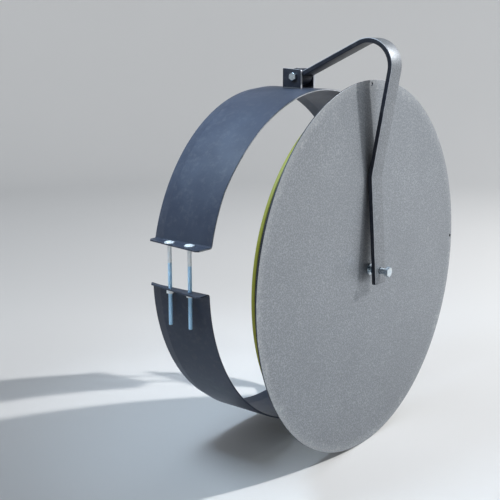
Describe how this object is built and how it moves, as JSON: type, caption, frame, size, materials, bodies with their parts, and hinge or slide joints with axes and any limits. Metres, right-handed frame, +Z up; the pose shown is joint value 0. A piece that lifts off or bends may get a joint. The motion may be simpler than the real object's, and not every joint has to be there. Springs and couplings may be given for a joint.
{
  "type": "hinged flap pipe cap",
  "caption": "Hinged flap cap for a large corrugated pipe: round disc with seal, bent flat-bar arm, and a two-part clamp saddle that grips the pipe.",
  "frame": {"origin": "on the pipe's axis, in the plane where the seal meets the end of the pipe", "axes": "+Y into the pipe, -Y outwards, +Z up, +X to the right seen from outside"},
  "size_m": [0.962, 0.411, 1.0612],
  "materials": {
    "saddle_steel": "satin",
    "dark_steel": "satin",
    "arm_steel": "satin",
    "disc_steel": "matte",
    "zinc": "bright zinc",
    "black_rubber": "matte",
    "lime_rubber": "matte"
  },
  "bodies": {
    "saddle": {"upper_saddle": "saddle_steel", "lower_saddle": "saddle_steel", "hinge_ear_left": "dark_steel", "hinge_ear_right": "dark_steel", "pivot_bolt": "zinc", "pivot_washer": "zinc", "pivot_nut": "zinc", "hub_washer_left": "zinc", "hub_washer_right": "zinc", "clamp_bolt_left_front": "zinc", "clamp_nut_left_front": "zinc", "clamp_bolt_left_rear": "zinc", "clamp_nut_left_rear": "zinc", "clamp_bolt_right_front": "zinc", "clamp_nut_right_front": "zinc", "clamp_bolt_right_rear": "zinc", "clamp_nut_right_rear": "zinc"},
    "arm": {"flap_arm": "arm_steel", "arm_hub": "dark_steel"},
    "stud": {"disc_bolt": "zinc", "arm_nut": "zinc", "disc_washer": "zinc", "back_washer": "zinc", "lock_nut": "zinc"},
    "disc": {"flap_disc": "disc_steel", "seal_backing_ring": "black_rubber", "seal_lip_ring": "lime_rubber"}
  },
  "joints": [
    {"name": "flap_swing", "type": "hinge", "parent": "saddle", "child": "arm", "pos_m": [0, 0.1755, 0.4765], "axis": [-1, 0, 0], "range_deg": [0, 90]},
    {"name": "bolt_float", "type": "slide", "parent": "arm", "child": "stud", "axis": [0, 1, 0], "range_m": [0, 0.015]},
    {"name": "disc_turn", "type": "hinge", "parent": "stud", "child": "disc", "pos_m": [0, -0.0455, -0.009], "axis": [0, 1, 0], "continuous": true}
  ]
}
